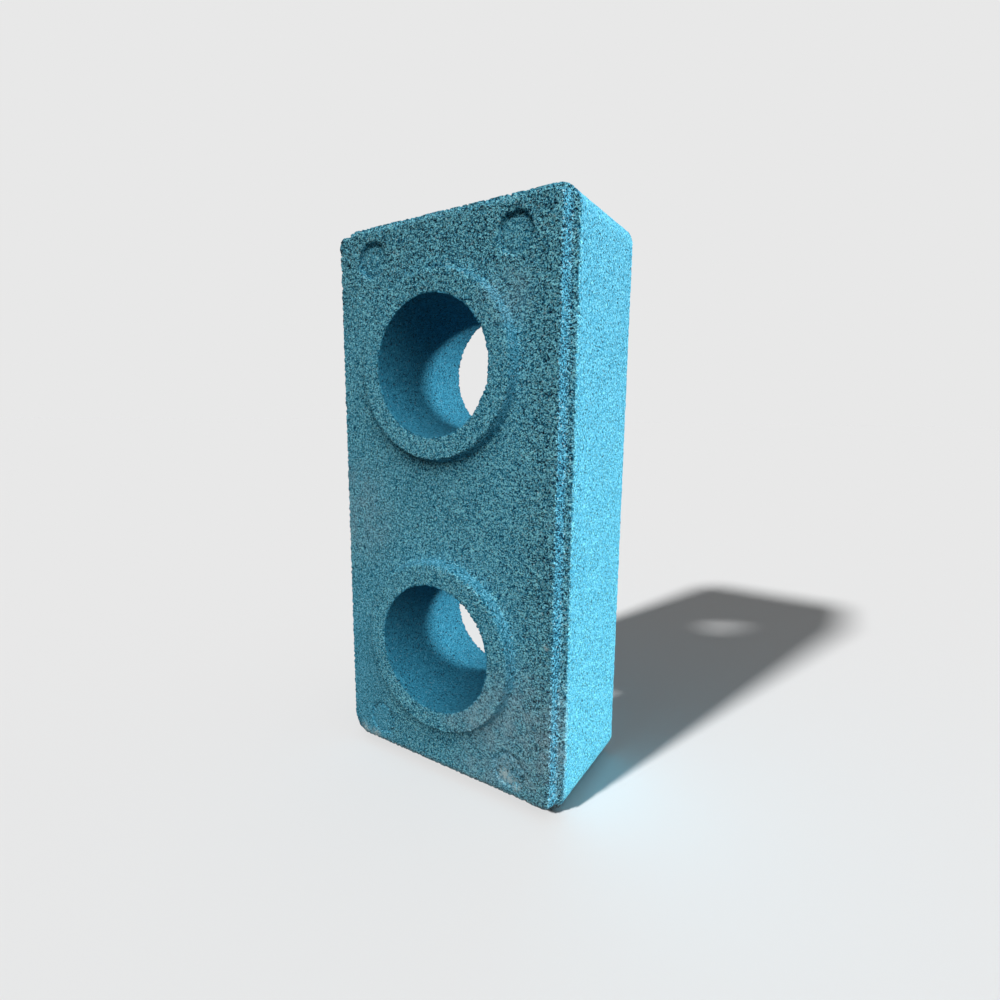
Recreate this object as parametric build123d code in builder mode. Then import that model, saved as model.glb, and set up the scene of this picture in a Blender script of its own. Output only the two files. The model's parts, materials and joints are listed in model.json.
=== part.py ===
import os
from math import atan, degrees

from build123d import *

# Interlocking pressed brick, one solid, standing on one of its short ends.
# X is its width, Y its thickness and Z its length. The ringed bed face looks along -Y,
# and the origin is on the floor, at the middle of the width and of the overall thickness.

# The block
length = 250.0
width = 122.0
thickness = 60.0  # underside to bed face, without the rings
plan_corner_radius = 10.0  # the four corners seen square onto the bed

# The raised bed: a land runs right round it, and a sloping edge climbs from it to the bed face
land_width = 2.75
bed_rise = 5.5
bed_slope_run = 1.6
bed_foot_radius = 3.4  # hollow round where the sloping edge meets the land
bed_corner_radius = 4.0  # plan corners of the bed, sharper than the block's own

# The two bores and the tapered ring that stands round each
bore_radius = 29.0
bore_spacing = 123.0
ring_height = 5.5
ring_land_width = 9.5  # flat top of the ring, from the bore to its outer edge
ring_slope_run = 1.5
ring_edge_radius = 0.8

# Play of a ring in the socket above it. In half bond the bores of two courses miss each other
# by half the length less one spacing, and the play at the side takes that up.
seat_side_clearance = 2.0
seat_depth_clearance = 1.0

# Shallow round marks that the press plate's bolt heads leave in the bed
mark_radius = 7.5
mark_depth = 1.0
mark_spacing_across = 74.0
mark_spacing_along = 218.0

overall_thickness = thickness + ring_height
ring_top_radius = bore_radius + ring_land_width
ring_base_radius = ring_top_radius + ring_slope_run
bed_slope_angle = degrees(atan(bed_slope_run / bed_rise))
ring_slope_angle = degrees(atan(ring_slope_run / ring_height))
socket_mouth_radius = ring_base_radius + seat_side_clearance
socket_depth = ring_height + seat_depth_clearance

underside = Plane(origin=(0, overall_thickness / 2, length / 2), x_dir=(1, 0, 0), z_dir=(0, -1, 0))
land_face = underside.offset(thickness - bed_rise)
bed_face = underside.offset(thickness)
bore_places = GridLocations(0, bore_spacing, 1, 2)
mark_places = GridLocations(mark_spacing_across, mark_spacing_along, 2, 2)

with BuildPart() as brick:
    # Block, from the underside up to the land
    with BuildSketch(underside):
        RectangleRounded(width, length, plan_corner_radius)
    extrude(amount=thickness - bed_rise)

    # Raised bed with its sloping edge
    with BuildSketch(land_face):
        RectangleRounded(width - 2 * land_width, length - 2 * land_width, bed_corner_radius)
    extrude(amount=bed_rise, taper=bed_slope_angle)
    land = brick.faces().filter_by(lambda face: face.inner_wires()).sort_by(Axis.Y)[0]
    fillet(land.inner_wires()[0].edges(), radius=bed_foot_radius)

    # Tapered rings, their outer top edge slightly rounded
    with BuildSketch(bed_face):
        with bore_places:
            Circle(ring_base_radius)
    extrude(amount=ring_height, taper=ring_slope_angle)
    fillet(brick.faces().sort_by(Axis.Y)[0:2].edges(), radius=ring_edge_radius)

    # Sockets in the underside, with the slope of the rings that they take
    with BuildSketch(underside):
        with bore_places:
            Circle(socket_mouth_radius)
    extrude(amount=socket_depth, taper=ring_slope_angle, mode=Mode.SUBTRACT)

    # Bores right through rings and block
    with BuildSketch(underside):
        with bore_places:
            Circle(bore_radius)
    extrude(amount=overall_thickness, mode=Mode.SUBTRACT)

    # Bolt-head marks in the bed
    with BuildSketch(bed_face):
        with mark_places:
            Circle(mark_radius)
    extrude(amount=-mark_depth, mode=Mode.SUBTRACT)

brick.part.label = "brick"

os.makedirs("parts", exist_ok=True)
export_step(brick.part, "parts/brick.step")
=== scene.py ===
import json
from math import pi, radians

import bpy
import numpy as np
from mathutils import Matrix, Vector, kdtree

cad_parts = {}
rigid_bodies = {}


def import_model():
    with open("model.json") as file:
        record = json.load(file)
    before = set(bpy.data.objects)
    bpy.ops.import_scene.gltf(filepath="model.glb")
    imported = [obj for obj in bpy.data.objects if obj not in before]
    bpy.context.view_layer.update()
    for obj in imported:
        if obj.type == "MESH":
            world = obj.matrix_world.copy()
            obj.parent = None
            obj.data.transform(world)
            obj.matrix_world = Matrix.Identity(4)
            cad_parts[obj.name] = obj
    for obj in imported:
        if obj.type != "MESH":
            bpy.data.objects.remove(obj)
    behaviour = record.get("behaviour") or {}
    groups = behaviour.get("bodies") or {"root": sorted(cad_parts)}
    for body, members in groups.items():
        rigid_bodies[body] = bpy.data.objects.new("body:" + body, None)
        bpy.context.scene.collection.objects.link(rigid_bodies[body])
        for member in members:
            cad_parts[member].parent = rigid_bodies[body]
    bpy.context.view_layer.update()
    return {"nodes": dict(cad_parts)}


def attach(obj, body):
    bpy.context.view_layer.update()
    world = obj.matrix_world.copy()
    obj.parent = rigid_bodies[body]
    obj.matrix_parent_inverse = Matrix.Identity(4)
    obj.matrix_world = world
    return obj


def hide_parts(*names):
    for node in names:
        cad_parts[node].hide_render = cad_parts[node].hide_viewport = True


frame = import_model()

scene = bpy.context.scene
scene.view_settings.view_transform = "Standard"


# Small helpers

def toLinear(hexColour):
    # sRGB hex to the linear values that the shaders take, with a full alpha
    channels = [int(hexColour[i:i + 2], 16) / 255 for i in (1, 3, 5)]
    return [c / 12.92 if c <= 0.04045 else ((c + 0.055) / 1.055) ** 2.4 for c in channels] + [1.0]


def addNode(tree, kind, settings=None, inputs=None):
    # inputs maps a socket to a value or to another node's output socket
    node = tree.nodes.new(kind)
    for name, value in (settings or {}).items():
        setattr(node, name, value)
    for socket, value in (inputs or {}).items():
        if isinstance(value, bpy.types.NodeSocket):
            tree.links.new(value, node.inputs[socket])
        else:
            node.inputs[socket].default_value = value
    return node


def pickOnly(piece):
    bpy.ops.object.select_all(action="DESELECT")
    piece.select_set(True)
    bpy.context.view_layer.objects.active = piece


def smoothStep(low, high, values):
    t = np.clip((values - low) / (high - low), 0, 1)
    return t * t * (3 - 2 * t)


# Camera, fitted to the outline and the bore rims

camera = {
    "place": (0.14861, -0.21072, 0.16637),
    "looksAlong": (-0.53167, 0.8333, -0.15148),
    "roll": 0.534,
    "lens": 19.627,
    "sensor": 36,
    "nearest": 0.01,
}
bpy.ops.object.camera_add(location=camera["place"])
cameraObject = bpy.context.object
cameraObject.name = "photoCamera"
turn = Vector(camera["looksAlong"]).to_track_quat("-Z", "Y").to_matrix()
cameraObject.rotation_euler = turn.to_euler()
cameraObject.rotation_euler.rotate_axis("Z", radians(camera["roll"]))
cameraObject.data.lens = camera["lens"]
cameraObject.data.sensor_width = camera["sensor"]
cameraObject.data.clip_start = camera["nearest"]
scene.camera = cameraObject
print("camera set")


# Brick body: the CAD solid's own shape, then pressed grain, worn arrises and small knocks

brick = {
    "halfWidth": 0.061, "length": 0.25,
    "voxel": 0.00065,
    "boreRadius": 0.029,
    "boreHeights": (0.0635, 0.1865),
    "borePlay": 0.00012,   # a grid point this near to a bore's radius belongs to its wall
    "ringReach": 0.043,   # the rings and their feet lie within this of a bore's middle
    # Y where the moulded sides give way to the pressed face, and where the bed, marks and rings are told apart
    "mouldedEnd": (-0.0205, -0.0195), "bedFrom": -0.0255, "markFloor": (-0.0268, -0.024), "ringFrom": -0.0285,
    "arrisStep": 0.0002,
    "arrisReach": 0.0020,   # how far from an arris the crumbling goes
    "arrisLoss": 0.0006, "crumbleSize": 0.0014,
    "grainSize": 0.0010, "grainDepth": 0.0003,
    "pitSize": 0.0014, "pitDepth": 0.0009,
    "waveSize": 0.012, "waveDepth": 0.0003,
    "mouldSize": 0.0030, "mouldDepth": 0.00025,
    "triangles": 195000,
    # places on the bed, each x, z, radius and amount
    "dust": [(0.044, 0.034, 0.040, 0.9), (0.018, 0.036, 0.018, 0.7), (0.020, 0.008, 0.020, 0.5),
             (0.034, 0.212, 0.016, 0.4), (-0.052, 0.120, 0.034, 0.45)],
    "scuffs": [(0.0350, 0.0125, 0.0055, 1.0), (0.0405, 0.0100, 0.0045, 0.8), (-0.0500, 0.0062, 0.0050, 1.0),
               (-0.0420, 0.0058, 0.0045, 0.8), (0.0540, 0.0755, 0.0018, 1.0)],
    "cornerPlace": (-0.0570, 0.0040), "cornerLoss": 0.0016,   # the lower left corner is worn back
    # each x, z and how far it is filled
    "marks": [(-0.037, 0.016, 0.9), (0.037, 0.016, 0.75), (-0.037, 0.234, 0.0), (0.037, 0.234, 0.0)],
    "markDepth": 0.001,   # the solid's own, which a full filling takes back
    # the floor of an open mark is cut below that, and the groove at its rim deeper still, for the shading
    "floorRadius": 0.0073, "floorDepth": 0.0005,
    "rimRadius": 0.0068, "rimDepth": 0.0010,
    "innerRadius": 0.0033,   # only the top left mark has a ring inside it
}

cadNode = frame["nodes"]["brick"]
body = bpy.data.objects.new("brickBody", cadNode.data.copy())
scene.collection.objects.link(body)
pickOnly(body)
bpy.ops.object.mode_set(mode="EDIT")
bpy.ops.mesh.select_mode(type="EDGE")
bpy.ops.mesh.select_all(action="SELECT")
bpy.ops.mesh.remove_doubles(threshold=0.00001)
bpy.ops.mesh.customdata_custom_splitnormals_clear()
bpy.ops.mesh.select_all(action="DESELECT")
bpy.ops.mesh.edges_select_sharp(sharpness=radians(35))
bpy.ops.object.mode_set(mode="OBJECT")

arrisPoints = []
for edge in body.data.edges:
    if edge.select:
        a, b = (body.data.vertices[i].co for i in edge.vertices)
        steps = max(1, int((b - a).length / brick["arrisStep"]))
        arrisPoints += [a.lerp(b, k / steps) for k in range(steps + 1)]
arrisTree = kdtree.KDTree(len(arrisPoints))
for i, point in enumerate(arrisPoints):
    arrisTree.insert(point, i)
arrisTree.balance()

remesh = body.modifiers.new("evenGrid", "REMESH")
remesh.mode = "VOXEL"
remesh.voxel_size = brick["voxel"]
remesh.use_smooth_shade = True
bpy.ops.object.modifier_apply(modifier=remesh.name)
print("even grid made:", len(body.data.vertices), "points")


def readPoints(mesh, what):
    values = np.empty(len(mesh.vertices) * 3)
    mesh.vertices.foreach_get(what, values)
    return values.reshape(-1, 3)


points = readPoints(body.data, "co")
normals = readPoints(body.data, "normal")

# The bores are turned true again, because the solid's facets would show in their smooth walls
lowerBore, upperBore = brick["boreHeights"]
nearLower = np.abs(points[:, 2] - lowerBore) < np.abs(points[:, 2] - upperBore)
nearestBore = np.where(nearLower, lowerBore, upperBore)
boreDistance = np.hypot(points[:, 0], points[:, 2] - nearestBore)
onWall = np.abs(boreDistance - brick["boreRadius"]) < brick["borePlay"]
grow = np.where(onWall, brick["boreRadius"] / boreDistance, 1)
points[:, 0] *= grow
points[:, 2] = nearestBore + (points[:, 2] - nearestBore) * grow

# The grid cuts the arrises off by half a cell, so its nearest points go back onto them
found = [arrisTree.find(p) for p in points]
arrisDistance = np.array([hit[2] for hit in found])
for i in np.flatnonzero(arrisDistance < 0.5 * brick["voxel"]):
    points[i] = found[i][0]
body.data.vertices.foreach_set("co", points.ravel())
body.data.update()
across, through, up = points.T


def distanceTo(x, z):
    return np.hypot(across - x, up - z)


boreWall = 1 - smoothStep(0.0292, 0.0296, boreDistance)
pressed = (1 - smoothStep(*brick["mouldedEnd"], through)) * (1 - boreWall)
arris = 1 - smoothStep(0.0003, brick["arrisReach"], arrisDistance)
inset = np.minimum.reduce([brick["halfWidth"] - np.abs(across), up, brick["length"] - up])
# the sloping walls of the pressed face, which the material colours in painted shade, with less of it on the
# rings
steep = pressed * (1 - smoothStep(0.35, 0.85, -normals[:, 1])) * (inset > 0.0005)
onRing = boreDistance < brick["ringReach"]
steep *= np.where(onRing, 0.35, 1)
markDistance = np.min([distanceTo(x, z) for x, z, _ in brick["marks"]], axis=0)
markDistance[through < brick["ringFrom"]] = 1


def spread(places, soft=0.25):
    # amount at each point of round patches on the bed
    left = np.ones(len(points))
    for x, z, radius, amount in places:
        left *= 1 - amount * (1 - smoothStep(soft * radius, radius, distanceTo(x, z)))
    return (1 - left) * pressed


print("masks worked out")


def weightGroup(name, weights):
    # a vertex group from an array of weights, in a few levels so that it is quick
    levels = 24
    group = body.vertex_groups.new(name=name)
    stepped = np.rint(np.clip(weights, 0, 1) * levels).astype(int)
    for level in range(1, levels + 1):
        members = np.flatnonzero(stepped == level).tolist()
        if members:
            group.add(members, level / levels, "REPLACE")


# Coarser towards the top and the right arris, calmer at the lower left and round the marks
coarser = np.maximum(smoothStep(0.19, 0.235, up), 0.8 * smoothStep(0.035, 0.052, across))
calmer = smoothStep(0.02, 0.05, -across) * (1 - smoothStep(0.05, 0.11, up))
grit = pressed * (0.62 + 0.38 * coarser - 0.35 * calmer)
grit *= 1 - 0.6 * (1 - smoothStep(0.0003, 0.0014, inset))
grit *= 1 - 0.3 * (1 - smoothStep(0.0072, 0.0090, markDistance))
grit *= 1 - steep * onRing
coarser *= smoothStep(0.0075, 0.0095, markDistance)
weightGroup("pressedGrain", grit)
weightGroup("coarsePits", pressed * (0.1 + 0.6 * coarser))
weightGroup("mouldedGrain", (1 - pressed) * (1 - 0.8 * boreWall))

crumble = arris * (1 - 0.7 * (1 - smoothStep(0.0012, 0.0024, inset)))
crumble *= 0.4 + 0.6 * smoothStep(0.005, 0.009, up)   # the foot is rubbed smooth
weightGroup("arris", crumble)
wornCorner = 1 - smoothStep(0.001, 0.009, distanceTo(*brick["cornerPlace"]))
weightGroup("wornCorner", wornCorner * pressed)

floorLow, floorHigh = brick["markFloor"]
filled = sum(fill * (1 - smoothStep(0.0070, 0.0085, distanceTo(x, z))) for x, z, fill in brick["marks"])
filled *= (through < floorHigh) * (through > floorLow)
rims = 1 - smoothStep(0.0003, 0.0011, np.abs(markDistance - brick["rimRadius"]))
innerRing = 1 - smoothStep(0.0002, 0.0009, np.abs(markDistance - brick["innerRadius"]))
rims = np.maximum(rims, 0.6 * innerRing * (across < 0) * (up > 0.2))
onBed = through < brick["bedFrom"]
weightGroup("markRims", rims * onBed * (1 - filled))
weightGroup("markFloors", (markDistance < brick["floorRadius"]) * onBed * (1 - filled))
weightGroup("filledMarks", filled)


def clouds(name, size, ramp=None, basis="BLENDER_ORIGINAL"):
    texture = bpy.data.textures.new(name, "CLOUDS")
    texture.noise_scale = size
    texture.noise_depth = 1
    texture.noise_basis = basis
    if ramp:
        texture.use_color_ramp = True
        first, last = texture.color_ramp.elements
        first.position, last.position = ramp
        first.color, last.color = (0, 0, 0, 1), (1, 1, 1, 1)
    return texture


def displace(name, group, strength, midLevel=0.0, texture=None):
    step = body.modifiers.new(name, "DISPLACE")
    step.texture = texture
    step.texture_coords = "LOCAL"
    step.vertex_group = group
    step.strength = strength
    step.mid_level = midLevel
    bpy.ops.object.modifier_apply(modifier=step.name)


pickOnly(body)
grainTexture = clouds("grain", brick["grainSize"], basis="ORIGINAL_PERLIN")
displace("filledMarks", "filledMarks", brick["markDepth"])
displace("markGrooves", "markRims", -brick["rimDepth"])
displace("markFloors", "markFloors", -brick["floorDepth"])
displace("slowWave", "pressedGrain", brick["waveDepth"], 0.5, clouds("slowWave", brick["waveSize"]))
displace("grain", "pressedGrain", brick["grainDepth"], 0.4, grainTexture)
displace("pits", "coarsePits", brick["pitDepth"], 0.85, clouds("pits", brick["pitSize"], (0.30, 0.42)))
displace("mouldGrain", "mouldedGrain", brick["mouldDepth"], 0.45, clouds("mouldGrain", brick["mouldSize"]))
displace("arrisCrumble", "arris", brick["arrisLoss"], 0.60,
         clouds("arrisCrumble", brick["crumbleSize"], (0.30, 0.70)))
displace("wornCorner", "wornCorner", -brick["cornerLoss"])
print("relief pressed in")


def storeMask(name, values):
    mask = body.data.attributes.new(name, "FLOAT", "POINT")
    mask.data.foreach_set("value", values.astype(np.float32))


storeMask("pressedFace", pressed)
storeMask("boreWall", boreWall)
storeMask("arrisNearness", arris)
storeMask("grit", grit + (1 - pressed) * (0.27 - 0.05 * boreWall))
storeMask("coarser", coarser * pressed)
storeMask("steep", steep)
storeMask("dust", spread(brick["dust"]) * (1 - 0.8 * steep))
storeMask("scuff", spread(brick["scuffs"], 0.1))
storeMask("foot", (1 - smoothStep(0.0046, 0.0062, up)) * pressed)

thin = body.modifiers.new("thin", "DECIMATE")
thin.ratio = min(1, brick["triangles"] / (2 * len(body.data.polygons)))
bpy.ops.object.modifier_apply(modifier=thin.name)

# Arrises are cut sharp in the shading as well
nearness = np.empty(len(body.data.vertices))
body.data.attributes["arrisNearness"].data.foreach_get("value", nearness)
ends = np.empty(len(body.data.edges) * 2, dtype=int)
body.data.edges.foreach_get("vertices", ends)
onArris = (nearness[ends.reshape(-1, 2)] > 0.97).all(axis=1)
body.data.edges.foreach_set("use_edge_sharp", onArris)
bpy.ops.object.shade_smooth()
print("brick body:", len(body.data.polygons), "faces")


# Pressed brick through-coloured with teal pigment: dry, matt and sandy, so it shows grain and no gloss

pigment = {
    "pressed": "#58B2CF",
    "pressedEdge": (-0.0214, -0.0212),   # Y at which the pressed face meets the moulded sides
    "mouldedLow": "#62CCF2",
    "mouldedHigh": "#5ABCDF",
    "mouldedFade": (0.03, 0.22),   # heights between which the one turns into the other: painted light, the moulded sides coloured lighter towards the bottom
    "bore": "#3590B0",
    # painted shade in the small pits and specks
    "pit": "#06202B",
    "quartz": "#B8E8F2",
    "scuff": "#D6F4F8",
    "steepShade": "#B8DAE2",   # painted shade: the sloping walls are coloured darker, standing in for the lesser light that falls on them
    "dust": "#BADBE4",
    "foot": "#6E6357",
    "grainSize": 0.00054,   # sand of 0.3 to 0.8 mm
    "fineSize": 0.00042,
    "sandSize": 0.0005,
    "pitSize": 0.00085,
    "speckSize": 0.0008,
    "dustPatch": 0.006,
    "scuffPatch": 0.0013,
    "toneMiddle": 0.49,
    "toneRange": 1.45,
    "lightest": 0.17,   # past this a light grain would leave the pigment's hue
    "toneByChannel": (4.2, 2.13, 1.80),   # dark grains lose red first, so they are the more saturated
    "toneGamma": 2.2,
    "bumpDepth": 0.0006,
    "roughness": 0.92,
    "specular": 0.25,
}


def pressedBrickMaterial():
    material = bpy.data.materials.new("tealPressedBrick")
    material.use_nodes = True
    tree = material.node_tree
    tree.nodes.clear()
    place = addNode(tree, "ShaderNodeTexCoord").outputs["Object"]

    def mask(name):
        return addNode(tree, "ShaderNodeAttribute", {"attribute_name": name}).outputs["Fac"]

    def mix(factor, a, b, blend="MIX"):
        settings = {"data_type": "RGBA", "blend_type": blend, "clamp_result": True}
        return addNode(tree, "ShaderNodeMix", settings, {0: factor, 6: a, 7: b}).outputs[2]

    def noise(size, detail=0.0, roughness=0.5):
        inputs = {"Vector": place, "Scale": 1 / size, "Detail": detail, "Roughness": roughness}
        return addNode(tree, "ShaderNodeTexNoise", None, inputs).outputs[0]

    def stretch(value, low, high, toLow, toHigh):
        inputs = {0: value, 1: low, 2: high, 3: toLow, 4: toHigh}
        return addNode(tree, "ShaderNodeMapRange", None, inputs).outputs[0]

    def calc(operation, a, b=0.0, c=0.0):
        return addNode(tree, "ShaderNodeMath", {"operation": operation}, {0: a, 1: b, 2: c}).outputs[0]

    def grains(size):
        # two random values for each grain
        cells = addNode(tree, "ShaderNodeTexVoronoi", None, {"Vector": place, "Scale": 1 / size})
        split = addNode(tree, "ShaderNodeSeparateColor", None, {0: cells.outputs["Color"]})
        return split.outputs[0], split.outputs[1]

    gritMask, coarseMask, boreMask = mask("grit"), mask("coarser"), mask("boreWall")
    parts = addNode(tree, "ShaderNodeSeparateXYZ", None, {0: place})
    crispEdge = stretch(parts.outputs[1], *pigment["pressedEdge"], 1.0, 0.0)
    pressedMask = calc("MULTIPLY", mask("pressedFace"), crispEdge)
    # painted light: the moulded sides are lighter low down and darker high up
    heightFade = stretch(parts.outputs[2], *pigment["mouldedFade"], 0.0, 1.0)
    moulded = mix(heightFade, toLinear(pigment["mouldedLow"]), toLinear(pigment["mouldedHigh"]))
    base = mix(pressedMask, moulded, toLinear(pigment["pressed"]))
    base = mix(boreMask, base, toLinear(pigment["bore"]))
    # painted shade on the sloping walls of the chamfers and rings
    base = mix(mask("steep"), base, mix(1.0, base, toLinear(pigment["steepShade"]), "MULTIPLY"))

    # each grain has its own tone, stepped evenly to the eye so that dark and light grains balance
    grainTone, grainKind = grains(pigment["grainSize"])
    fineTone = grains(pigment["fineSize"])[0]
    sand = stretch(noise(pigment["sandSize"], 1.0, 0.6), 0.25, 0.75, 0.0, 1.0)
    blend = calc("MULTIPLY_ADD", grainTone, 0.32, calc("MULTIPLY", sand, 0.2))
    blend = calc("MULTIPLY_ADD", fineTone, 0.48, blend)
    tone = calc("MULTIPLY", calc("SUBTRACT", blend, pigment["toneMiddle"]), pigment["toneRange"])
    tone = calc("MINIMUM", calc("MULTIPLY", tone, gritMask), pigment["lightest"])
    tint = addNode(tree, "ShaderNodeVectorMath", {"operation": "MULTIPLY_ADD"},
                   {0: tone, 1: pigment["toneByChannel"], 2: (1, 1, 1)}).outputs[0]
    tint = addNode(tree, "ShaderNodeGamma", None, {0: tint, 1: pigment["toneGamma"]}).outputs[0]
    base = mix(1.0, base, tint, "MULTIPLY")
    dustPatches = stretch(noise(pigment["dustPatch"], 2.0, 0.6), 0.35, 0.65, 0.2, 0.8)
    dustAmount = calc("MULTIPLY", mask("dust"), dustPatches)
    dustAmount = calc("MULTIPLY", dustAmount, stretch(blend, 0.3, 0.7, 0.4, 1.0))
    base = mix(dustAmount, base, toLinear(pigment["dust"]))

    # the pits and specks are coloured dark as painted shade, and the pits are also sunk by the bump
    pitShape = stretch(noise(pigment["pitSize"], 1.0, 0.6), 0.30, 0.38, 1.0, 0.0)
    specks = stretch(noise(pigment["speckSize"]), 0.29, 0.34, 0.75, 0.0)
    pits = calc("MULTIPLY", pitShape, calc("MULTIPLY_ADD", coarseMask, 0.6, 0.1))
    pits = calc("MAXIMUM", pits, specks)
    base = mix(pits, base, toLinear(pigment["pit"]))
    quartz = calc("MULTIPLY", stretch(grainKind, 0.976, 0.981, 0.0, 0.9), gritMask)
    base = mix(quartz, base, toLinear(pigment["quartz"]))
    scuffShape = stretch(noise(pigment["scuffPatch"], 2.0, 0.7), 0.44, 0.54, 0.1, 1.0)
    base = mix(calc("MULTIPLY", mask("scuff"), scuffShape), base, toLinear(pigment["scuff"]))
    base = mix(calc("MULTIPLY", mask("foot"), 0.6), base, toLinear(pigment["foot"]))

    height = calc("MULTIPLY_ADD", pits, -1.5, calc("MULTIPLY", blend, gritMask))
    bump = addNode(tree, "ShaderNodeBump", None,
                   {"Strength": 1.0, "Distance": pigment["bumpDepth"], "Height": height}).outputs[0]
    shader = addNode(tree, "ShaderNodeBsdfPrincipled", None,
                     {"Base Color": base, "Roughness": pigment["roughness"],
                      "Specular IOR Level": pigment["specular"], "Normal": bump})
    addNode(tree, "ShaderNodeOutputMaterial", None, {"Surface": shader.outputs[0]})
    return material


body.data.materials.clear()
body.data.materials.append(pressedBrickMaterial())
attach(body, "root")
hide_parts("brick")
print("brick finished")


# Floor and studio light

studio = {
    "floorSize": 40,
    "paper": "#E8E8E8",
    "paperBounce": "#404040",   # what the paper throws back on the brick, as if it were flagged off
    "fillLevel": 0.11,
    "keyTowards": (0.836, 0.43, 0.34), "keyLevel": 1.06, "keySoftness": 10,
    "skyTowards": (0.42, -0.52, 0.74), "skyLevel": 0.75, "skySoftness": 70,
    "floorFill": 0.075, "floorSoftness": 150,   # keeps the shadow on the paper from going black
    "shadowTowards": (-0.24, -0.77, 0.60), "shadowSoftness": 5,
}

bpy.ops.mesh.primitive_plane_add(size=studio["floorSize"])
floor = bpy.context.object
floor.name = "floor"
paper = bpy.data.materials.new("matPaper")
paper.use_nodes = True
tree = paper.node_tree
tree.nodes.clear()
path = addNode(tree, "ShaderNodeLightPath")
seen = addNode(tree, "ShaderNodeMix", {"data_type": "RGBA"},
               {0: path.outputs["Is Camera Ray"], 6: toLinear(studio["paperBounce"]),
                7: toLinear(studio["paper"])})
sheet = addNode(tree, "ShaderNodeBsdfDiffuse", None, {"Color": seen.outputs[2]})
addNode(tree, "ShaderNodeOutputMaterial", None, {"Surface": sheet.outputs[0]})
floor.data.materials.append(paper)

world = bpy.data.worlds.new("studioWorld")
scene.world = world
world.use_nodes = True
tree = world.node_tree
tree.nodes.clear()
path = addNode(tree, "ShaderNodeLightPath")
fill = addNode(tree, "ShaderNodeBackground", None,
               {"Color": (1, 1, 1, 1), "Strength": studio["fillLevel"]})
backdrop = addNode(tree, "ShaderNodeBackground", None,
                   {"Color": toLinear(studio["paper"]), "Strength": 1.0})
choose = addNode(tree, "ShaderNodeMixShader", None,
                 {0: path.outputs["Is Camera Ray"], 1: fill.outputs[0], 2: backdrop.outputs[0]})
addNode(tree, "ShaderNodeOutputWorld", None, {"Surface": choose.outputs[0]})


def addSun(name, towards, level, softness, lights):
    bpy.ops.object.light_add(type="SUN", location=Vector(towards) * 2)
    lamp = bpy.context.object
    lamp.name = name
    lamp.rotation_euler = (-Vector(towards)).to_track_quat("-Z", "Y").to_euler()
    lamp.data.energy = level * pi   # a level of 1 shows a white face that it strikes squarely as white
    lamp.data.angle = radians(softness)
    lamp.light_linking.receiver_collection = lights


# The photo's shadow does not follow the light on its brick, so each has lamps of its own
brickOnly = bpy.data.collections.new("brickOnly")
brickOnly.objects.link(body)
floorOnly = bpy.data.collections.new("floorOnly")
floorOnly.objects.link(floor)
addSun("keyLamp", studio["keyTowards"], studio["keyLevel"], studio["keySoftness"], brickOnly)
addSun("skyLamp", studio["skyTowards"], studio["skyLevel"], studio["skySoftness"], brickOnly)
addSun("floorLamp", (0, 0, 1), studio["floorFill"], studio["floorSoftness"], floorOnly)
shadowTowards = Vector(studio["shadowTowards"]).normalized()
shadowLevel = (1 - studio["fillLevel"] - studio["floorFill"]) / shadowTowards.z
addSun("shadowLamp", shadowTowards, shadowLevel, studio["shadowSoftness"], floorOnly)
print("studio set")
